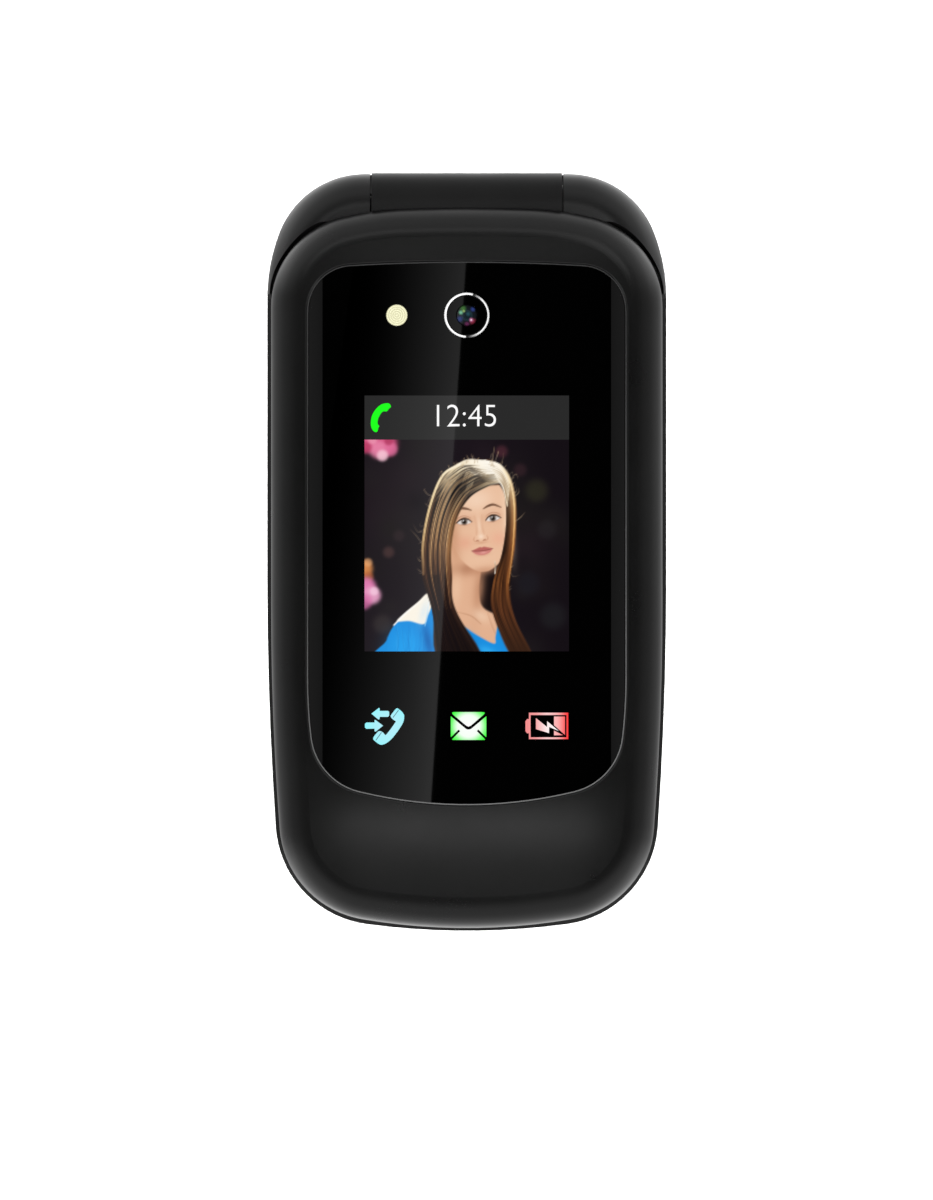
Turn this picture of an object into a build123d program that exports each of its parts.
"""Flip phone with a small outer display, built as an assembly of separate pieces.

Frame: X runs across the phone, Y runs along it towards the hinge, Z runs up from the back of the
base, through the base and then through the closed lid. The phone lies on its back on Z = 0.
All sizes are millimetres.
"""
from build123d import *
import math
import os

os.makedirs("parts", exist_ok=True)

# Overall sizes
body_width = 55.0
body_length = 104.4
base_height = 11.6
lid_gap = 0.4
lid_height = 8.5

# Plan outlines. Each side of an outline is a chain of tangent arcs, (radius, degrees turned).
# The two end arcs take their radius from the width, the straight side takes what is left of the length.
base_top_arcs = ((12.57, 67.86), (25.28, 21.20))
base_low_arcs = ((501.5, 3.90), (14.44, 78.39))
lid_top_arcs = ((40.0, 12.37), (13.0, 75.71))
lid_low_arcs = ((398.8, 4.39), (13.65, 75.90))
window_top_arcs = ((6.13, 78.97), (9.41, 7.62))
window_low_arcs = ((69.62, 6.64), (8.64, 69.66))

# Gaps between pieces, and how far a cut runs past the face that it opens
rest_gap = 0.05
fit_gap = 0.1
press_gap = 0.02
stack_gap = 0.2
through = 1.0

# Shells
wall = 1.3
lid_roll = 4.3
base_back_roll = 2.6
base_rim_edge = 0.6
lid_rim_edge = 0.4
base_seam_z = 6.4
lid_seam_height = 1.5
seam_gap = 0.05
rib_height = 0.8
rib_thickness = 0.8
rib_root = 0.5
lid_rib_foot_margin = 45.0
lid_rib_head_margin = 18.0
lid_side_reveal = 0.6
lid_foot_reveal = 0.5
lid_head_over_hinge = 0.1
lid_room_corner = 13.0

# Hinge
barrel_radius = 4.7
barrel_half_length = 13.1
barrel_end_gap = 0.2
barrel_clearance = 0.15
barrel_neck = 1.2
barrel_bore_radius = 3.05
hinge_axis_above_lid_floor = 1.0
lid_opening = 155.0
shoulder_below_barrel_top = 0.6
shoulder_roll = 4.5
shoulder_gap = 0.25
shoulder_blend = 7.4
envelope_margin = 2.5
cradle_clearance = 0.25
cradle_wall = 1.55
relief_clearance = 0.35
running_clearance = 0.05
cartridge_length = 13.4
shaft_radius = 1.5
shaft_length = 9.6
shaft_end_gap = 0.4
key_head_radius = 2.4
key_head_length = 3.6
key_head_flat = 1.7
bushing_inner_radius = 2.2
bushing_reach = 3.0
flex_roll_radius = 1.6
flex_thickness = 0.3
flex_width = 3.8
flex_clearance = 0.2
flex_slot_reach = 3.8

# Outer window and what shows through it
window_width = 43.54
window_top_below_hinge = 7.83
window_foot_above_lid_foot = 17.1
window_thickness = 1.0
window_sink = 0.1
window_gap = 0.15
window_margin = 1.97
window_side_drop = 0.4
window_seat_height = 0.8
window_seat_side = 1.5
window_seat_head = 2.4
window_seat_foot = 3.4
window_seat_corner = 6.0
opening_chamfer = 0.25
camera_below_window_top = 7.2
camera_ring_radius = 3.1
camera_ring_mouth = 2.7
camera_ring_proud = 0.08
camera_ring_edge = 0.1
camera_funnel_step = 0.35
camera_lens_radius = 1.5
camera_lens_edge = 0.15
camera_module_side = 8.0
camera_module_depth = 5.2
camera_barrel_radius = 3.3
camera_barrel_height = 1.0
flash_offset = 9.6
flash_radius = 1.5
flash_flange = 0.4
flash_flange_thickness = 1.6
display_side_gap = 3.27
display_length = 45.8
display_thickness = 2.4
display_below_camera = 28.5
display_glass = 0.9
status_guide_width = 30.0
status_guide_length = 7.0
status_guide_step = 0.6
status_window_width = 7.0
status_window_length = 5.6
status_window_pitch = 11.1
status_below_display = 28.0

# Lid inside
main_window_width = 44.0
main_window_length = 66.0
main_window_thickness = 0.95
main_window_corner = 3.0
main_window_below_hinge = 17.5
main_display_width = 43.0
main_display_length = 60.0
main_display_thickness = 2.1
main_display_glass = 0.8
active_width = 37.4
active_length = 49.6
lid_board_side_gap = 7.9
lid_board_thickness = 0.8
lid_board_above_end = 9.57
lid_board_corner = 5.0
lid_board_camera_gap = 0.6
earpiece_width = 11.6
earpiece_length = 4.6
earpiece_thickness = 2.5
earpiece_wall_gap = 0.15
earpiece_camera_gap = 0.13
ear_slot_width = 9.0
ear_slot_length = 1.6
ear_slot_corner = 0.5
ear_rebate = 0.6
ear_rebate_depth = 0.35
mesh_thickness = 0.25
magnet_width = 6.0
magnet_length = 4.0
magnet_thickness = 1.5
magnet_above_end = 5.5
bumper_width = 5.0
bumper_length = 2.2
bumper_corner = 0.6
bumper_sink = 0.6
bumper_x = 12.5
bumper_above_end = 4.2

# Base inside
board_thickness = 1.0
board_inset = 2.9
board_head_gap = 0.5
key_room = 1.8
dome_sheet_thickness = 0.3
dome_sheet_margin = 1.0
deck_thickness = 1.4
deck_recess = 0.25
field_side_margin = 3.5
field_foot_margin = 6.0
field_below_hinge = 12.5
field_corner = 9.0

# Keys
key_rise = 0.05
ok_rise = 0.15
key_travel = 0.4
key_clearance = 0.15
key_corner = 0.8
key_edge = 0.35
key_flange_width = 0.7
key_flange_thickness = 0.8
plunger_side = 3.0
number_key_width = 13.0
number_key_length = 8.0
number_pitch_x = 15.0
number_pitch_y = 10.8
number_top_below_hinge = 46.0
side_key_width = 11.6
side_key_length = 8.4
side_key_x = 16.8
side_key_offset_y = 6.8
ring_below_hinge = 25.5
ring_radius = 9.6
ok_side = 8.0
ok_clearance = 0.25
ok_room_clearance = 1.0
ok_flange_width = 0.6
ok_flange_thickness = 0.25

# Battery and its cover
battery_width = 34.2
battery_length = 50.4
battery_thickness = 4.8
battery_clearance = 0.2
battery_corner = 1.5
battery_foot_above_end = 15.5
contact_pitch = 5.0
contact_block_width = 15.0
contact_block_depth = 2.2
contact_pad_width = 2.0
contact_pad_height = 2.4
contact_blade_width = 1.2
contact_blade_height = 1.6
bay_wall = 0.9
bay_ceiling = 0.7
tray_floor = 0.8
cover_thickness = 1.2
cover_rim_z = 3.0
cover_gap = 0.15
cover_above_battery = 2.3
grip_width = 13.0
grip_length = 3.4
grip_depth = 0.35
grip_below_head = 3.6

# Screws
stud_sides = 12
screw_head_radius = 1.5
screw_head_height = 1.0
screw_head_clearance = 0.2
screw_shank_radius = 0.8
boss_radius = 2.0
plug_height = 0.45
plug_clearance = 0.05
base_screw_head_z = 3.4

# Small parts
usb_width = 7.5
usb_height = 2.6
usb_depth = 5.4
usb_shell = 0.35
usb_corner = 0.8
usb_inset = 0.6
usb_gap = 0.25
tongue_height = 0.55
jack_bore_radius = 1.8
jack_nose_radius = 2.6
jack_depth = 14.0
jack_width = 6.0
jack_height = 5.2
jack_inset = 0.25
jack_z = 4.5
jack_below_hinge = 21.5
rocker_length = 15.0
rocker_height = 2.6
rocker_proud = 0.0
rocker_edge = 0.2
rocker_flange_width = 1.0
rocker_flange_thickness = 0.5
rocker_flange_gap = 0.4
rocker_pivot_radius = 0.5
rocker_below_hinge = 25.5
rocker_below_deck = 1.5
assist_width = 14.0
assist_length = 10.0
assist_corner = 4.0
assist_edge = 0.3
assist_below_hinge = 21.5
assist_sink = 0.35
assist_travel = 0.5
assist_flange_width = 0.8
assist_stem_radius = 1.6
dish_margin = 2.5
dish_depth = 0.3
speaker_width = 18.0
speaker_length = 10.0
speaker_thickness = 3.5
speaker_below_hinge = 8.9
slot_width = 11.0
slot_height = 0.8
slot_corner = 0.25
slot_pitch = 1.6
slot_count = 4
motor_radius = 5.0
motor_thickness = 2.7
motor_x = -15.5
motor_below_hinge = 21.5
antenna_width = 7.0
antenna_length = 9.5
antenna_x = 8.5
antenna_above_end = 9.25
sim_width = 16.0
sim_length = 16.0
sim_x = -6.0
sim_below_battery_middle = 13.0
sim_sheet = 0.15
pad_width = 2.2
pad_height = 2.4
pad_depth = 2.6
pad_x = 9.5
pad_z = 3.7
pad_sink = 0.12
mic_x = -8.0
mic_above_end = 7.4
mic_radius = 2.0
mic_height = 1.45
mic_hole_radius = 0.5

# Places worked out from the sizes above
half_width = body_width / 2
base_end = -body_length / 2
hinge_y = body_length / 2 - barrel_radius
lid_floor = base_height + lid_gap
lid_top = lid_floor + lid_height
hinge_z = lid_floor + hinge_axis_above_lid_floor
lid_half_width = half_width - lid_side_reveal
lid_end = base_end + lid_foot_reveal
lid_head = hinge_y + lid_head_over_hinge
lid_seam_z = lid_floor + lid_seam_height
lid_room_head = hinge_y - barrel_radius - barrel_clearance - wall
knuckle_x = barrel_half_length + barrel_end_gap
bushing_radius = barrel_bore_radius - running_clearance
shoulder_height = hinge_z + barrel_radius - shoulder_below_barrel_top
window_top_z = lid_top - window_sink
window_under_z = window_top_z - window_thickness
window_head = hinge_y - window_top_below_hinge
window_foot = lid_end + window_foot_above_lid_foot
camera_y = window_head - camera_below_window_top
display_y = camera_y - display_below_camera
display_width = window_width - 2 * (window_seat_side + display_side_gap)
display_top_z = window_under_z - stack_gap
status_y = display_y - status_below_display
lid_board_top_z = display_top_z - display_thickness - stack_gap
lid_board_head = camera_y - camera_module_side / 2 - lid_board_camera_gap
lid_board_foot = lid_end + lid_board_above_end
lid_board_width = 2 * (lid_half_width - lid_board_side_gap)
ear_y = lid_room_head - earpiece_wall_gap - earpiece_length / 2
camera_module_head = ear_y - earpiece_length / 2 - earpiece_camera_gap
main_window_y = hinge_y - main_window_below_hinge - main_window_length / 2
flex_x = earpiece_width / 2 + flex_clearance
flex_z = hinge_z + flex_roll_radius - flex_thickness
deck_under_z = base_height - deck_thickness
board_top_z = deck_under_z - key_room
board_low_z = board_top_z - board_thickness
dome_low_z = board_top_z + fit_gap
flange_top_z = deck_under_z - fit_gap
key_foot_z = dome_low_z + dome_sheet_thickness + rest_gap + key_travel
base_room_head = hinge_y - barrel_radius - cradle_clearance - cradle_wall
ring_y = hinge_y - ring_below_hinge
battery_y = base_end + battery_foot_above_end + battery_length / 2
battery_low_z = cover_thickness + cover_gap + battery_clearance
bay_top_z = battery_low_z + battery_thickness + battery_clearance
bay_half_width = battery_width / 2 + battery_clearance
bay_half_length = battery_length / 2 + battery_clearance
cover_head = battery_y + battery_length / 2 + cover_above_battery
tray_inset = cover_thickness + cover_gap
jack_y = hinge_y - jack_below_hinge
rocker_y = hinge_y - rocker_below_hinge
rocker_z = deck_under_z - rocker_below_deck
rocker_flange_x = -half_width + wall + rocker_flange_gap
assist_y = hinge_y - assist_below_hinge
speaker_y = hinge_y - speaker_below_hinge
mic_y = base_end + mic_above_end
usb_low_z = board_low_z - rest_gap - usb_height
lid_screw_head_z = lid_floor + 1.6
lid_screw_end_z = lid_floor + 5.4
lid_boss_z = lid_floor + 2.35
lid_screws_at = [
    (side * x, y)
    for x, y in ((lid_half_width - 4.0, hinge_y - 17.5), (lid_half_width - 5.6, lid_end + 11.0))
    for side in (-1, 1)
]
base_screws_at = [
    (side * x, y)
    for x, y in ((half_width - 7.0, hinge_y - 10.0), (half_width - 12.5, base_end + 8.7))
    for side in (-1, 1)
]


# Outlines

def plan_outline(width, head, foot, top_arcs, low_arcs, inset=0.0):
    """Closed symmetric outline from its head (+Y) to its foot, moved inwards by inset."""
    top_turn = 90.0 - sum(turn for radius, turn in top_arcs)
    low_turn = 90.0 - sum(turn for radius, turn in low_arcs)
    arcs = [[0.0, top_turn], *map(list, top_arcs), *map(list, low_arcs), [0.0, low_turn]]
    heading = 0.0
    reach = [0.0, 0.0]
    drop = 0.0
    for place, (radius, turn) in enumerate(arcs):
        start, heading = math.radians(heading), heading + turn
        stop = math.radians(heading)
        reach[place >= 1 + len(top_arcs)] += radius * (math.sin(stop) - math.sin(start))
        drop += radius * (math.cos(start) - math.cos(stop))
    arcs[0][0] = (width / 2 - reach[0]) / math.sin(math.radians(top_turn))
    arcs[-1][0] = (width / 2 + reach[1]) / math.sin(math.radians(low_turn))
    drop += sum(radius * (1 - math.cos(math.radians(turn))) for radius, turn in (arcs[0], arcs[-1]))
    side_length = head - foot - drop
    point, heading = Vector(0, head - inset), Vector(1, 0)
    edges = []
    for place, (radius, turn) in enumerate(arcs):
        if place == 1 + len(top_arcs):
            edges.append(Line(point, point + heading * side_length))
            point = edges[-1] @ 1
        edges.append(JernArc(point, heading, radius - inset, -turn))
        point, heading = edges[-1] @ 1, edges[-1] % 1
    half = Curve() + edges
    return make_face(half + mirror(half, about=Plane.YZ))


def base_outline(inset=0.0):
    return plan_outline(body_width, -base_end, base_end, base_top_arcs, base_low_arcs, inset)


def lid_outline(inset=0.0):
    return plan_outline(2 * lid_half_width, lid_head, lid_end, lid_top_arcs, lid_low_arcs, inset)


def window_outline(inset=0.0):
    return plan_outline(window_width, window_head, window_foot, window_top_arcs, window_low_arcs, inset)


# Forms

def slab(face, low, high):
    """A plan face raised from one height to another."""
    return extrude(Pos(0, 0, low) * face, amount=high - low, dir=(0, 0, 1))


def block(x_low, x_high, y_low, y_high, z_low, z_high):
    """A plain block between two corners."""
    middle = Pos((x_low + x_high) / 2, (y_low + y_high) / 2, (z_low + z_high) / 2)
    return middle * Box(x_high - x_low, y_high - y_low, z_high - z_low)


def plate(x, y, width, length, low, high):
    """A plain block placed by its middle."""
    return block(x - width / 2, x + width / 2, y - length / 2, y + length / 2, low, high)


def rounded(x, y, width, length, corner, low, high):
    """A block with rounded upright corners."""
    return slab(Pos(x, y) * RectangleRounded(width, length, corner), low, high)


def cut_plate(x, y, width, length, corner, low, high):
    """A block with its upright corners cut off at 45 degrees."""
    outline = chamfer(Rectangle(width, length).vertices(), corner)
    return slab(Pos(x, y) * outline, low, high)


def post(x, y, radius, low, high):
    return slab(Pos(x, y) * Circle(radius), low, high)


def stud(x, y, radius, low, high):
    """A twelve-sided post, for screws and for what stays hidden."""
    return slab(Pos(x, y) * RegularPolygon(radius, stud_sides), low, high)


def turned(x, y, points):
    """A ring turned about an upright axis at (x, y) from its half section, given as (radius, height)."""
    section = Plane.XZ * make_face(Polyline(*points, close=True))
    return Pos(x, y) * revolve(section, axis=Axis.Z)


def rod(y, z, radius, x_low, x_high):
    """A round bar along X."""
    return Pos((x_low + x_high) / 2, y, z) * Rot(0, 90, 0) * Cylinder(radius, x_high - x_low)


def hinge_rod(radius, x_low, x_high):
    return rod(hinge_y, hinge_z, radius, x_low, x_high)


def side_ribs(half, low_y, high_y, low, high):
    """A locating rib just inside each side wall."""
    outer = half - wall - fit_gap
    inner = outer - rib_thickness
    return block(inner, outer, low_y, high_y, low, high) + block(-outer, -inner, low_y, high_y, low, high)


def screw(x, y, head_z, up_to):
    """Pan-head screw driven upwards: its head hangs below head_z."""
    head = stud(x, y, screw_head_radius, head_z - screw_head_height, head_z)
    return head + stud(x, y, screw_shank_radius, head_z, up_to)


def screw_holes(places, head_low, head_high, up_to):
    """Head recess and shank hole for each screw."""
    head_radius, shank_radius = screw_head_radius + screw_head_clearance, screw_shank_radius + fit_gap
    return Part() + [
        form for x, y in places
        for form in (stud(x, y, head_radius, head_low, head_high), stud(x, y, shank_radius, head_low, up_to))
    ]


def hinge_envelope(clearance):
    """Body of revolution about the hinge axis that parts the lid from the base's shoulders."""
    neck = barrel_radius + barrel_clearance - clearance
    flat = lid_half_width - shoulder_blend
    centre_r = barrel_radius + barrel_clearance + shoulder_blend
    bend = shoulder_blend + clearance
    outer_r = centre_r - clearance
    bend_x = flat + math.sqrt(bend * bend - clearance * clearance)
    end_x = half_width + envelope_margin
    bend_start = Vector(flat, neck)
    slant = math.atan2(outer_r - centre_r, bend_x - flat)
    middle_angle = (slant - math.pi / 2) / 2
    bend_middle = Vector(flat + bend * math.cos(middle_angle), centre_r + bend * math.sin(middle_angle))
    edges = [
        Line((0, 0), (end_x, 0)),
        Line((end_x, 0), (end_x, outer_r)),
        Line((end_x, outer_r), (bend_x, outer_r)),
        ThreePointArc((bend_x, outer_r), bend_middle, bend_start),
        Line(bend_start, (0, neck)),
        Line((0, neck), (0, 0)),
    ]
    half = revolve(make_face(Curve() + edges), axis=Axis.X)
    return Pos(0, hinge_y, hinge_z) * (half + mirror(half, about=Plane.YZ))


def flex_passage():
    """Slot from the barrel's bore into the lid, for the flex cable."""
    side, rise = flex_clearance / 2, 1.5 * flex_clearance
    return block(
        flex_x - side, flex_x + flex_width + side,
        hinge_y - barrel_radius - flex_slot_reach, hinge_y - through,
        flex_z - rise, flex_z + flex_thickness + rise,
    )


# Lid

def lid_room():
    """Hollow of the outer cover: one step inside the walls, and a higher one inside the roll."""
    low = lid_seam_z - through
    walls = slab(lid_outline(wall), low, lid_top - lid_roll)
    walls = walls & block(-half_width, half_width, lid_end, lid_room_head, low, lid_top)
    foot = lid_end + lid_roll
    middle, length = (lid_room_head + foot) / 2, lid_room_head - foot
    width = 2 * (lid_half_width - lid_roll)
    roof = cut_plate(0, middle, width, length, lid_room_corner, low, lid_top - wall)
    return walls + roof


def window_rim(shell):
    """Top edges of the shell that run round the window."""
    reach_x = window_width / 2 + 2 * window_gap
    low_y, high_y = window_foot - 2 * window_gap, window_head + 2 * window_gap
    rim = shell.edges().group_by(Axis.Z)[-1]
    return rim.filter_by(lambda edge: abs(edge.center().X) < reach_x and low_y < edge.center().Y < high_y)


def window_seat_opening():
    """Opening inside the ledge that the window lies on."""
    head, foot = window_head - window_seat_head, window_foot + window_seat_foot
    width = window_width - 2 * window_seat_side
    low = window_under_z - window_seat_height - through
    return cut_plate(0, (head + foot) / 2, width, head - foot, window_seat_corner, low, lid_top)


def lid_outer_cover():
    """Outer shell of the lid, with the window's seat, screw bosses and its end curved round the barrel."""
    shell = slab(lid_outline(), lid_seam_z + seam_gap, lid_top)
    shell = fillet(shell.edges().group_by(Axis.Z)[-1], lid_roll)
    shell = shell - lid_room()
    seat_low = window_under_z - window_seat_height
    shell = shell + slab(window_outline(-window_gap - wall), seat_low, lid_top - wall / 2)
    for x, y in lid_screws_at:
        shell = shell + stud(x, y, boss_radius, lid_boss_z, lid_top - wall + fit_gap)
    shell = shell - slab(window_outline(-window_gap), window_under_z, lid_top + through)
    shell = chamfer(window_rim(shell), opening_chamfer)
    shell = shell - window_seat_opening()
    for x, y in lid_screws_at:
        hole_top = lid_screw_end_z + 3 * fit_gap
        shell = shell - stud(x, y, screw_shank_radius + fit_gap, lid_boss_z - through, hole_top)
    return shell - hinge_envelope(0) - flex_passage()


def outer_window():
    """Glossy window panel: flat in the middle, with its two long margins sloping down."""
    panel = slab(window_outline(), window_under_z, window_top_z)
    edge, low = window_top_z - window_side_drop, window_under_z - through
    side, flat = window_width / 2, window_width / 2 - window_margin
    profile = Polyline(
        (-half_width, low), (-half_width, edge), (-side, edge), (-flat, window_top_z),
        (flat, window_top_z), (side, edge), (half_width, edge), (half_width, low), close=True,
    )
    panel = panel & extrude(Plane.XZ * make_face(profile), amount=body_length, both=True)
    panel = panel - post(0, camera_y, camera_ring_radius + rest_gap, low, lid_top)
    return panel - post(-flash_offset, camera_y, flash_radius + fit_gap, low, lid_top)


def outer_display():
    glass_low = display_top_z - display_glass
    frame_low = display_top_z - display_thickness
    border = 3 * stack_gap
    glass = plate(0, display_y, display_width, display_length, glass_low, display_top_z)
    return glass + plate(0, display_y, display_width - border, display_length - border, frame_low, glass_low)


def status_light_guide():
    """Light guide with a raised window for each of the three status icons."""
    low = lid_board_top_z + stack_gap
    high = display_top_z - status_guide_step
    guide = plate(0, status_y, status_guide_width, status_guide_length, low, high)
    for x in (-status_window_pitch, 0, status_window_pitch):
        guide = guide + plate(x, status_y, status_window_width, status_window_length, low, display_top_z)
    return guide


def camera_ring():
    """Bright ring with a stepped funnel down to the lens."""
    top, low = window_top_z + camera_ring_proud, window_under_z + rest_gap
    bore, edge = camera_lens_radius + fit_gap, camera_ring_edge
    mouth, outer = camera_ring_mouth, camera_ring_radius
    return turned(0, camera_y, (
        (bore, low), (outer, low), (outer, top - edge), (outer - edge, top),
        (mouth, top), (mouth - edge, top - camera_funnel_step), (bore, low + 3 * edge),
    ))


def camera_lens():
    low, high = window_under_z - 2 * stack_gap, window_under_z + 1.5 * stack_gap
    lens = post(0, camera_y, camera_lens_radius, low, high)
    return chamfer(lens.edges().group_by(Axis.Z)[-1], camera_lens_edge)


def camera_module():
    top = window_under_z - 2 * stack_gap - rest_gap
    half, foot = camera_module_side / 2, camera_y - camera_module_side / 2
    low, high = top - camera_module_depth, top - camera_barrel_height
    box = block(-half, half, foot, camera_module_head, low, high)
    return box + stud(0, camera_y, camera_barrel_radius, top - camera_barrel_height, top)


def flash_lens():
    low = window_under_z - fit_gap
    flange = stud(-flash_offset, camera_y, flash_radius + flash_flange, low - flash_flange_thickness, low)
    return flange + post(-flash_offset, camera_y, flash_radius, low, window_top_z - rest_gap)


def lid_board():
    middle, length = (lid_board_head + lid_board_foot) / 2, lid_board_head - lid_board_foot
    low = lid_board_top_z - lid_board_thickness
    return cut_plate(0, middle, lid_board_width, length, lid_board_corner, low, lid_board_top_z)


def main_display():
    """Display module: its glass towards the main window and a steel back."""
    low = lid_seam_z + seam_gap
    glass_top, border = low + main_display_glass, 2 * stack_gap
    width, length = main_display_width, main_display_length
    steel = plate(0, main_window_y, width, length, glass_top, low + main_display_thickness)
    return steel + plate(0, main_window_y, width - border, length - border, low, glass_top)


def main_window():
    low = lid_floor + press_gap
    return rounded(
        0, main_window_y, main_window_width, main_window_length, main_window_corner,
        low, low + main_window_thickness,
    )


def inner_openings():
    """Window recess, display opening and earpiece slot of the lid's inner cover."""
    grow = 2 * fit_gap
    low, high = lid_floor - through, lid_seam_z + through
    recess = rounded(
        0, main_window_y, main_window_width + grow, main_window_length + grow, main_window_corner + fit_gap,
        low, lid_floor + main_window_thickness + rest_gap,
    )
    opening = plate(0, main_window_y, active_width, active_length, low, high)
    slot = cut_plate(0, ear_y, ear_slot_width, ear_slot_length, ear_slot_corner, low, high)
    width, length = ear_slot_width + 2 * ear_rebate + grow, ear_slot_length + 2 * ear_rebate
    rebate = plate(0, ear_y, width, length, lid_seam_z - ear_rebate_depth, high)
    return recess + opening + slot + rebate


def barrel():
    """Hinge barrel with the neck that joins it to the inner cover."""
    ends = (-barrel_half_length, barrel_half_length)
    neck = block(*ends, hinge_y - barrel_radius - barrel_neck, hinge_y - through, lid_floor, lid_seam_z)
    return hinge_rod(barrel_radius, *ends) + neck


def lid_inner_cover():
    """Inner half of the lid: a framed plate with side ribs, screw bosses and the hinge barrel."""
    cover = slab(lid_outline(), lid_floor, lid_seam_z)
    cover = chamfer(cover.edges().group_by(Axis.Z)[0], lid_rim_edge)
    root = lid_seam_z - rib_root
    rib_ends = (lid_end + lid_rib_foot_margin, hinge_y - lid_rib_head_margin)
    cover = cover + side_ribs(lid_half_width, *rib_ends, root, lid_seam_z + rib_height)
    for x, y in lid_screws_at:
        cover = cover + stud(x, y, boss_radius, root, lid_boss_z - seam_gap)
    cover = cover - hinge_envelope(0) + barrel()
    bore_end = barrel_half_length + through
    cover = cover - hinge_rod(barrel_bore_radius, -bore_end, bore_end)
    cover = cover - inner_openings()
    cover = cover - screw_holes(lid_screws_at, lid_floor - through, lid_screw_head_z, lid_boss_z)
    for side in (-1, 1):
        cover = cover - bumper(side, lid_floor - through, lid_floor + bumper_sink + press_gap, rest_gap)
    return cover - flex_passage()


def bumper(side, low, high, grow):
    width, length = bumper_width + 2 * grow, bumper_length + 2 * grow
    return cut_plate(side * bumper_x, lid_end + bumper_above_end, width, length, bumper_corner, low, high)


def lid_bumpers():
    low, high = base_height + rest_gap, lid_floor + bumper_sink
    return Part() + [bumper(side, low, high, 0) for side in (-1, 1)]


def lid_screws():
    return Part() + [screw(x, y, lid_screw_head_z, lid_screw_end_z) for x, y in lid_screws_at]


def lid_screw_plugs():
    radius = screw_head_radius + screw_head_clearance - plug_clearance
    low = lid_floor + rest_gap
    return Part() + [stud(x, y, radius, low, low + plug_height) for x, y in lid_screws_at]


def earpiece():
    low = lid_seam_z + seam_gap
    return plate(0, ear_y, earpiece_width, earpiece_length, low, low + earpiece_thickness)


def earpiece_mesh():
    high = lid_seam_z - rest_gap
    width, length = ear_slot_width + 2 * ear_rebate, ear_slot_length + 2 * ear_rebate - 2 * fit_gap
    return plate(0, ear_y, width, length, high - mesh_thickness, high)


def closing_magnet():
    low = lid_seam_z + seam_gap
    return plate(0, lid_end + magnet_above_end, magnet_width, magnet_length, low, low + magnet_thickness)


# Hinge

def hinge_cartridge():
    """Sealed cam and spring cartridge that turns with the lid."""
    start = -barrel_half_length + fit_gap
    body = hinge_rod(barrel_bore_radius - press_gap, start, start + cartridge_length)
    return body - hinge_rod(shaft_radius + running_clearance, start - through, start + shaft_length)


def hinge_key(clearance):
    """D-shaped head of the hinge shaft, which the left shoulder holds."""
    radius = key_head_radius + clearance
    head = hinge_rod(radius, -knuckle_x - key_head_length - clearance, -knuckle_x)
    flat = hinge_z + key_head_flat + clearance
    return head - block(-half_width, 0, hinge_y - 2 * radius, hinge_y + 2 * radius, flat, flat + radius)


def hinge_shaft():
    end = -barrel_half_length + shaft_length - shaft_end_gap
    return hinge_key(0) + hinge_rod(shaft_radius, -knuckle_x, end)


def hinge_bushing():
    """Hollow bushing in the right shoulder: the barrel turns on it and the flex cable passes through it."""
    start, end = barrel_half_length - bushing_reach, knuckle_x + key_head_length
    bore = hinge_rod(bushing_inner_radius, start - through, end + through)
    return hinge_rod(bushing_radius, start, end) - bore


def hinge_flex_cable():
    """Flex cable: rolled up on the hinge axis, with a flat tail into the lid."""
    roll_end = knuckle_x + key_head_length - 1.1
    roll = hinge_rod(flex_roll_radius, flex_x, roll_end)
    roll = roll - hinge_rod(flex_roll_radius - flex_thickness, flex_x - through, roll_end + through)
    foot, side = lid_board_head + flex_thickness / 2, flex_x + flex_width
    tail = block(flex_x, side, foot, hinge_y, flex_z, flex_z + flex_thickness)
    return roll + tail + block(flex_x, side, foot, foot + flex_thickness, flex_z, lid_board_top_z)


# Keys

def key_places():
    """Width, length and place of every straight-sided key, by name."""
    places = {}
    names = ("1", "2", "3", "4", "5", "6", "7", "8", "9", "star", "0", "hash")
    for index, name in enumerate(names):
        x = (index % 3 - 1) * number_pitch_x
        y = hinge_y - number_top_below_hinge - (index // 3) * number_pitch_y
        places["key_" + name] = (number_key_width, number_key_length, x, y)
    for name, side, lift in (("soft_left", -1, 1), ("soft_right", 1, 1), ("call", -1, -1), ("end", 1, -1)):
        x, y = side * side_key_x, ring_y + lift * side_key_offset_y
        places["key_" + name] = (side_key_width, side_key_length, x, y)
    return places


def key_hole(width, length, x, y):
    grow = 2 * key_clearance
    return cut_plate(
        x, y, width + grow, length + grow, key_corner + key_clearance / 2,
        deck_under_z - through, base_height + through,
    )


def key(width, length, x, y):
    """Key cap with a retaining flange under the deck and a small plunger over its dome."""
    flange_low = flange_top_z - key_flange_thickness
    cap = cut_plate(x, y, width, length, key_corner, flange_low, base_height + key_rise)
    cap = chamfer(cap.edges().group_by(Axis.Z)[-1], key_edge)
    grow = 2 * key_flange_width
    flange = plate(x, y, width + grow, length + grow, flange_low, flange_top_z)
    return cap + flange + plate(x, y, plunger_side, plunger_side, key_foot_z, flange_top_z)


def ok_form(grow, low, high):
    """The OK key's square, widened all round and raised between two heights."""
    side = ok_side + 2 * grow
    return plate(0, ring_y, side, side, low, high)


def navigation_ring():
    """Ring key round the OK key, with a flange under the deck."""
    top, low = base_height + key_rise, key_foot_z + fit_gap
    cap = post(0, ring_y, ring_radius, low, top)
    cap = chamfer(cap.edges().group_by(Axis.Z)[-1], key_edge)
    ring = cap + post(0, ring_y, ring_radius + key_flange_width, low, flange_top_z)
    ring = ring - ok_form(ok_clearance, low - through, top + through)
    room_top = key_foot_z + key_travel + ok_flange_thickness + fit_gap
    return ring - ok_form(ok_flange_width + ok_room_clearance, low - through, room_top)


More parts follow.
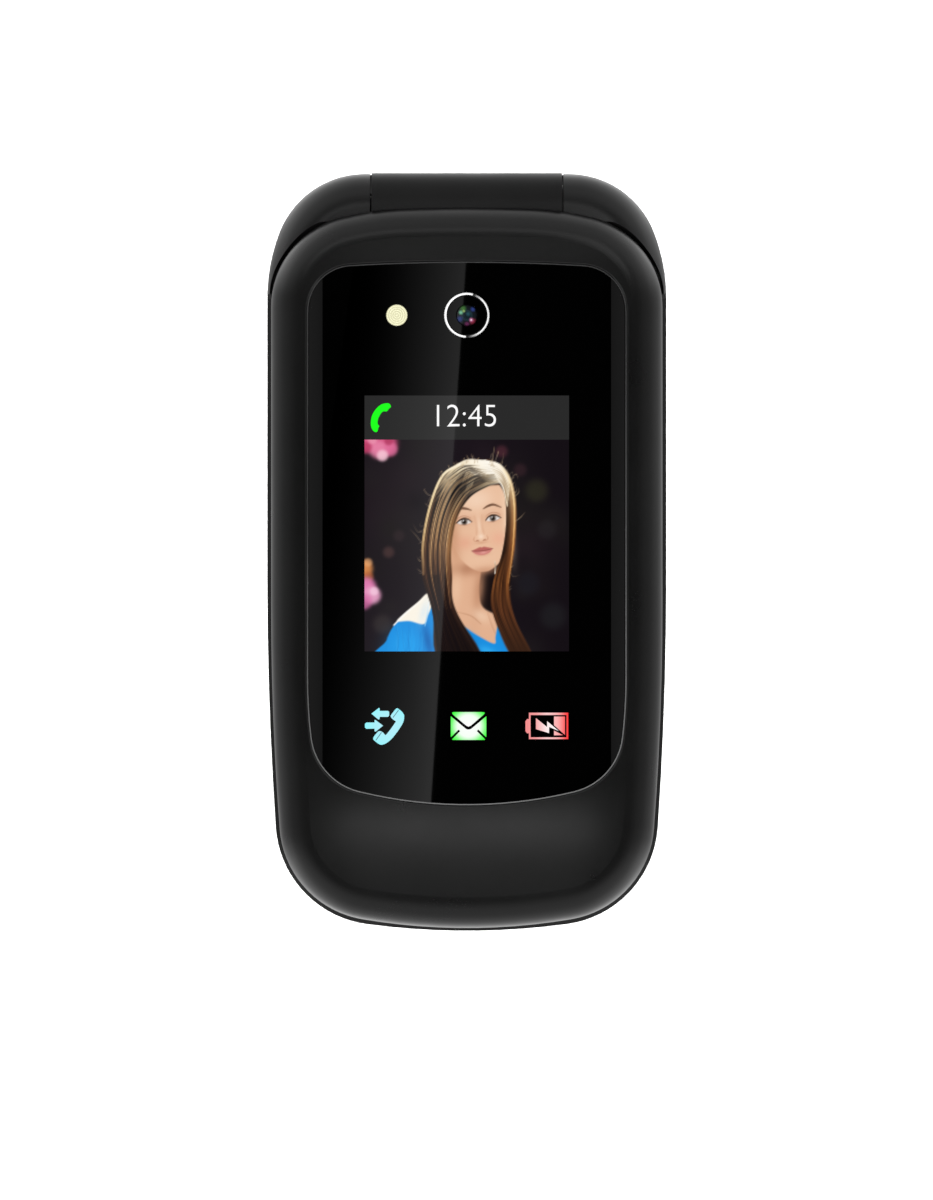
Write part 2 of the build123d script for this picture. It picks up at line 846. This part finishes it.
def key_ok():
    cap = ok_form(0, key_foot_z, base_height + ok_rise)
    cap = chamfer(cap.edges().group_by(Axis.Z)[-1], key_edge)
    return cap + ok_form(ok_flange_width, key_foot_z, key_foot_z + ok_flange_thickness)


# Base

def shoulders():
    """Two shoulders that carry the hinge ends and follow the base's outline."""
    form = slab(base_outline(), base_seam_z + seam_gap, shoulder_height)
    form = fillet(form.edges().group_by(Axis.Z)[-1], shoulder_roll)
    form = form & hinge_envelope(shoulder_gap)
    return form - block(-knuckle_x, knuckle_x, 0, body_length, base_seam_z, lid_top)


def swing_relief():
    """Room under the barrel for the lid's rolled end when the lid is fully open."""
    back, up = lid_head - lid_roll - hinge_y, lid_top - lid_roll - hinge_z
    turn = math.radians(-lid_opening)
    y = hinge_y + back * math.cos(turn) - up * math.sin(turn)
    z = hinge_z + back * math.sin(turn) + up * math.cos(turn)
    return rod(y, z, lid_roll + relief_clearance, -half_width, half_width) - hinge_envelope(shoulder_gap)


def key_field():
    """Shallow field that the keys lie in."""
    head, foot = hinge_y - field_below_hinge, base_end + field_foot_margin
    width = body_width - 2 * field_side_margin
    low, high = base_height - deck_recess, base_height + through
    return rounded(0, (head + foot) / 2, width, head - foot, field_corner, low, high)


def base_front_cover():
    """Front half of the base: key deck, side walls, barrel cradle and hinge shoulders."""
    low = base_seam_z + seam_gap
    form = slab(base_outline(), low, base_height)
    form = chamfer(form.edges().group_by(Axis.Z)[-1], base_rim_edge)
    form = form - swing_relief()
    form = form + shoulders() - hinge_rod(barrel_radius + cradle_clearance, -knuckle_x, knuckle_x)
    room = slab(base_outline(wall), low - through, deck_under_z)
    form = form - (room & block(-half_width, half_width, base_end, base_room_head, 0, lid_floor))
    boss_low = bay_top_z + bay_ceiling + seam_gap
    for x, y in base_screws_at:
        form = form + stud(x, y, boss_radius, boss_low, base_height - deck_thickness / 2)
    form = form - key_field()
    for place in key_places().values():
        form = form - key_hole(*place)
    hole_low, hole_high = deck_under_z - through, base_height + through
    form = form - post(0, ring_y, ring_radius + key_clearance, hole_low, hole_high)
    form = form - stud(mic_x, mic_y, mic_hole_radius, hole_low, hole_high)
    for x, y in base_screws_at:
        form = form - stud(x, y, screw_shank_radius + fit_gap, low, deck_under_z + fit_gap)
    form = form - hinge_key(press_gap)
    form = form - hinge_rod(bushing_radius + press_gap, knuckle_x - through, knuckle_x + key_head_length)
    return form - side_openings()


def side_openings():
    """USB opening, headset jack opening and rocker opening through the side walls."""
    half = usb_width / 2 + usb_gap
    usb = block(
        -half, half, base_end - through, base_end + usb_depth + usb_inset,
        usb_low_z - usb_gap, board_low_z - press_gap,
    )
    jack = rod(jack_y, jack_z, jack_nose_radius + fit_gap, half_width - 3 * wall, half_width + through)
    place = Pos(-half_width, rocker_y, rocker_z) * Rot(0, 90, 0)
    rocker = place * extrude(rocker_face(2 * key_clearance), amount=3 * wall, both=True)
    return usb + jack + rocker


def rocker_face(grow):
    return Rot(0, 0, 90) * SlotOverall(rocker_length + grow, rocker_height + grow)


def volume_rocker():
    """Two-way side key that rocks on a round pivot behind the wall."""
    place = Pos(-half_width - rocker_proud, rocker_y, rocker_z) * Rot(0, 90, 0)
    reach = rocker_flange_x + rocker_flange_thickness / 2 + half_width + rocker_proud
    cap = place * extrude(rocker_face(0), amount=reach)
    cap = chamfer(cap.edges().group_by(Axis.X)[0], rocker_edge)
    half, low, high = rocker_length / 2, rocker_z - rocker_height / 2, rocker_z + rocker_height / 2
    pivot_x = rocker_flange_x + rocker_flange_thickness
    flange = block(
        rocker_flange_x, pivot_x,
        rocker_y - half - rocker_flange_width, rocker_y + half + rocker_flange_width, low, high,
    )
    return cap + flange + post(pivot_x, rocker_y, rocker_pivot_radius, low, high)


def back_form():
    """Lower block of the base with its rounded back edge."""
    form = slab(base_outline(), 0, base_seam_z)
    return fillet(form.edges().group_by(Axis.Z)[0], base_back_roll)


def battery_cover():
    """Tray-shaped cover over the battery that forms the lower back of the phone, with a thumb grip."""
    cover = back_form() & block(-half_width, half_width, -body_length, cover_head, 0, cover_rim_z)
    cover = cover - slab(base_outline(cover_thickness), cover_thickness, cover_rim_z + through)
    grip_y = cover_head - grip_below_head
    return cover - rounded(0, grip_y, grip_width, grip_length, 0.45 * grip_length, -through, grip_depth)


def cover_zone():
    """Space that the battery cover takes from the rear cover, with the tray left standing inside it."""
    top = cover_rim_z + cover_gap
    zone = block(-half_width, half_width, -body_length, cover_head + cover_gap, -through, top)
    return zone - slab(base_outline(tray_inset), tray_inset, top + through)


def rear_room():
    """Hollow of the rear cover: down to the wall above the battery cover, and to the tray behind it."""
    step_y = cover_head + cover_gap + wall
    floor = tray_inset + tray_floor
    upper = block(-half_width, half_width, step_y, body_length, wall, lid_floor)
    lower = block(-half_width, half_width, -body_length, step_y + rest_gap, floor, lid_floor)
    return slab(base_outline(floor), 0, lid_floor) & (upper + lower)


def back_openings():
    """Speaker slots, and the button's opening in its dish."""
    low, high = -through, wall + through
    dish = rounded(
        0, assist_y, assist_width + 2 * dish_margin, assist_length + 2 * dish_margin,
        assist_corner + dish_margin, low, dish_depth,
    )
    grow = 2 * key_clearance
    hole = rounded(
        0, assist_y, assist_width + grow, assist_length + grow, assist_corner + key_clearance, low, high
    )
    slots = [
        cut_plate(0, speaker_y + place * slot_pitch, slot_width, slot_height, slot_corner, low, high)
        for place in (index - (slot_count - 1) / 2 for index in range(slot_count))
    ]
    return dish + hole + slots


def base_rear_cover():
    """Rear half of the base: walls, battery bay, screw bosses, speaker slots and a dish for the button."""
    form = back_form() - cover_zone() - rear_room()
    rib_ends = (lid_end + lid_rib_foot_margin, jack_y - jack_nose_radius - through)
    form = form + side_ribs(half_width, *rib_ends, base_seam_z - 2 * rib_height, base_seam_z + rib_height)
    bay_roof = bay_top_z + bay_ceiling
    width, length = 2 * (bay_half_width + bay_wall), 2 * (bay_half_length + bay_wall)
    form = form + plate(0, battery_y, width, length, tray_inset, bay_roof)
    for x, y in base_screws_at:
        form = form + stud(x, y, boss_radius + screw_head_clearance, wall, bay_roof)
    form = form - plate(0, battery_y, 2 * bay_half_width, 2 * bay_half_length, -through, bay_top_z)
    form = form - screw_holes(base_screws_at, -through, base_screw_head_z, lid_floor)
    form = form - sim_form(1.5 * fit_gap) - contact_form(fit_gap)
    return form - back_openings() - charging_pads(rest_gap) - side_openings()


def assistance_button():
    """Button in a dish on the back, with a stem up to the switch on the board."""
    flange_low = wall + fit_gap
    cap = rounded(0, assist_y, assist_width, assist_length, assist_corner, assist_sink, flange_low)
    cap = chamfer(cap.edges().group_by(Axis.Z)[0], assist_edge)
    grow = 2 * assist_flange_width
    flange = plate(0, assist_y, assist_width + grow, assist_length + grow, flange_low, wall + 3 * stack_gap)
    stem_top = board_low_z - assist_travel - stack_gap
    return cap + flange + stud(0, assist_y, assist_stem_radius, flange_low, stem_top)


def battery():
    """Battery pack with three sunk contact pads in its upper end."""
    high = battery_low_z + battery_thickness
    pack = rounded(0, battery_y, battery_width, battery_length, battery_corner, battery_low_z, high)
    end, low = battery_y + battery_length / 2, battery_low_z + 1.0
    pads = [
        plate(x, end, contact_pad_width, 2 * usb_gap, low, low + contact_pad_height)
        for x in (-contact_pitch, 0, contact_pitch)
    ]
    return pack - pads


def contact_form(grow):
    """Block of the sprung battery contacts, set through the upper wall of the bay."""
    low_y = battery_y + bay_half_length - rest_gap
    half = contact_block_width / 2 + grow
    low, high = tray_inset + 1.0, board_low_z - fit_gap
    return block(-half, half, low_y - grow, low_y + contact_block_depth + grow, low - grow, high + grow)


def battery_contacts():
    blade_y = battery_y + bay_half_length + 0.175
    low = battery_low_z + 1.4
    blades = [
        plate(x, blade_y, contact_blade_width, 0.65, low, low + contact_blade_height)
        for x in (-contact_pitch, 0, contact_pitch)
    ]
    return contact_form(0) + blades


def sim_form(grow):
    width, length = sim_width + 2 * grow, sim_length + 2 * grow
    low, high = bay_top_z + fit_gap, board_low_z - fit_gap
    return plate(sim_x, battery_y - sim_below_battery_middle, width, length, low - grow, high + grow)


def sim_card_holder():
    """Sheet-metal holder with an open slot for the card and a window over its contacts."""
    holder = sim_form(0)
    box = holder.bounding_box()
    side, sheet = 3 * sim_sheet, sim_sheet
    slot = block(
        box.min.X + side, box.max.X - side, box.min.Y - through, box.max.Y - through,
        box.min.Z + sheet, box.max.Z - sheet,
    )
    middle = battery_y - sim_below_battery_middle
    window = plate(sim_x, middle, sim_width / 2, sim_length / 3, box.min.Z - through, box.min.Z + 2 * sheet)
    return holder - slot - window


def main_board():
    """Main board, cut back round the screw bosses."""
    board = slab(base_outline(board_inset), board_low_z, board_top_z)
    head = base_room_head - board_head_gap
    board = board & block(-half_width, half_width, base_end, head, board_low_z, board_top_z)
    side = 2 * (boss_radius + 3 * fit_gap)
    low, high = board_low_z - through, board_top_z + through
    return board - [plate(x, y, side, side, low, high) for x, y in base_screws_at]


def keypad_dome_sheet():
    head = ring_y + ring_radius + dome_sheet_margin
    last_row = hinge_y - number_top_below_hinge - 3 * number_pitch_y
    foot = last_row - number_key_length / 2 - dome_sheet_margin
    half = number_pitch_x + number_key_width / 2
    return block(-half, half, foot, head, dome_low_z, dome_low_z + dome_sheet_thickness)


def microphone():
    low = board_top_z + rest_gap
    return stud(mic_x, mic_y, mic_radius, low, low + mic_height)


def loudspeaker():
    low = wall + mesh_thickness + fit_gap
    return plate(0, speaker_y, speaker_width, speaker_length, low, low + speaker_thickness)


def speaker_mesh():
    low = wall + press_gap
    width, length = slot_width + 2 * through, slot_pitch * slot_count + through
    return plate(0, speaker_y, width, length, low, low + mesh_thickness)


def vibration_motor():
    return stud(motor_x, hinge_y - motor_below_hinge, motor_radius, wall, wall + motor_thickness)


def antenna():
    """Plastic antenna carrier in the foot of the base."""
    low, high = tray_inset + tray_floor, board_low_z - stack_gap
    return plate(antenna_x, base_end + antenna_above_end, antenna_width, antenna_length, low, high)


def usb_socket():
    """Sheet-metal socket shell with its contact tongue."""
    half, low, high = usb_width / 2, usb_low_z, usb_low_z + usb_height
    foot = base_end + usb_inset
    outline = Plane.XZ * make_face(Polyline(
        (-half, high), (half, high), (half, low + usb_corner), (half - usb_corner, low),
        (-half + usb_corner, low), (-half, low + usb_corner), close=True,
    ))
    hollow = offset(outline, amount=-usb_shell, kind=Kind.INTERSECTION)
    shell = Pos(0, foot, 0) * extrude(outline, amount=-usb_depth)
    shell = shell - Pos(0, foot - through, 0) * extrude(hollow, amount=-usb_depth)
    tongue_half, tongue_high = half - 2 * usb_corner, high - 2 * usb_shell
    tongue_low = tongue_high - tongue_height
    tongue = block(
        -tongue_half, tongue_half, foot + usb_corner, foot + usb_depth - through / 2, tongue_low, tongue_high
    )
    return shell + tongue


def headset_jack():
    """Jack with a round nose in the side wall and an open bore."""
    mouth = half_width - jack_inset
    back, front = mouth - jack_depth - usb_corner, half_width - wall - through
    body = block(
        back, front, jack_y - jack_width / 2, jack_y + jack_width / 2,
        jack_z - jack_height / 2, jack_z + jack_height / 2,
    )
    nose = rod(jack_y, jack_z, jack_nose_radius, front - through / 2, mouth)
    return body + nose - rod(jack_y, jack_z, jack_bore_radius, mouth - jack_depth, half_width + through)


def charging_pads(grow):
    """Two charging contacts let into the foot, flush with its curve."""
    half, depth = pad_width / 2 + grow, base_end + pad_depth + grow
    low, high = pad_z - grow, pad_z + pad_height + grow
    pads = Part() + [block(x - half, x + half, base_end - through, depth, low, high) for x in (-pad_x, pad_x)]
    return pads & slab(base_outline(pad_sink - 4 * grow), cover_rim_z, base_seam_z + through)


def charging_contacts():
    return charging_pads(0)


def base_screws():
    return Part() + [screw(x, y, base_screw_head_z, deck_under_z - 3 * fit_gap) for x, y in base_screws_at]


nodes = {
    "lid_outer_cover": lid_outer_cover,
    "outer_window": outer_window,
    "outer_display": outer_display,
    "status_light_guide": status_light_guide,
    "camera_ring": camera_ring,
    "camera_lens": camera_lens,
    "camera_module": camera_module,
    "flash_lens": flash_lens,
    "lid_board": lid_board,
    "main_display": main_display,
    "main_window": main_window,
    "lid_inner_cover": lid_inner_cover,
    "earpiece": earpiece,
    "earpiece_mesh": earpiece_mesh,
    "closing_magnet": closing_magnet,
    "lid_bumpers": lid_bumpers,
    "lid_screws": lid_screws,
    "lid_screw_plugs": lid_screw_plugs,
    "hinge_cartridge": hinge_cartridge,
    "hinge_shaft": hinge_shaft,
    "hinge_bushing": hinge_bushing,
    "hinge_flex_cable": hinge_flex_cable,
    "base_front_cover": base_front_cover,
    "base_rear_cover": base_rear_cover,
    "battery_cover": battery_cover,
    "battery": battery,
    "battery_contacts": battery_contacts,
    "sim_card_holder": sim_card_holder,
    "main_board": main_board,
    "keypad_dome_sheet": keypad_dome_sheet,
    "navigation_ring": navigation_ring,
    "key_ok": key_ok,
    "volume_rocker": volume_rocker,
    "assistance_button": assistance_button,
    "microphone": microphone,
    "loudspeaker": loudspeaker,
    "speaker_mesh": speaker_mesh,
    "vibration_motor": vibration_motor,
    "antenna": antenna,
    "usb_socket": usb_socket,
    "headset_jack": headset_jack,
    "charging_contacts": charging_contacts,
    "base_screws": base_screws,
}

for name, make in nodes.items():
    export_step(make(), f"parts/{name}.step")
for name, place in key_places().items():
    export_step(key(*place), f"parts/{name}.step")
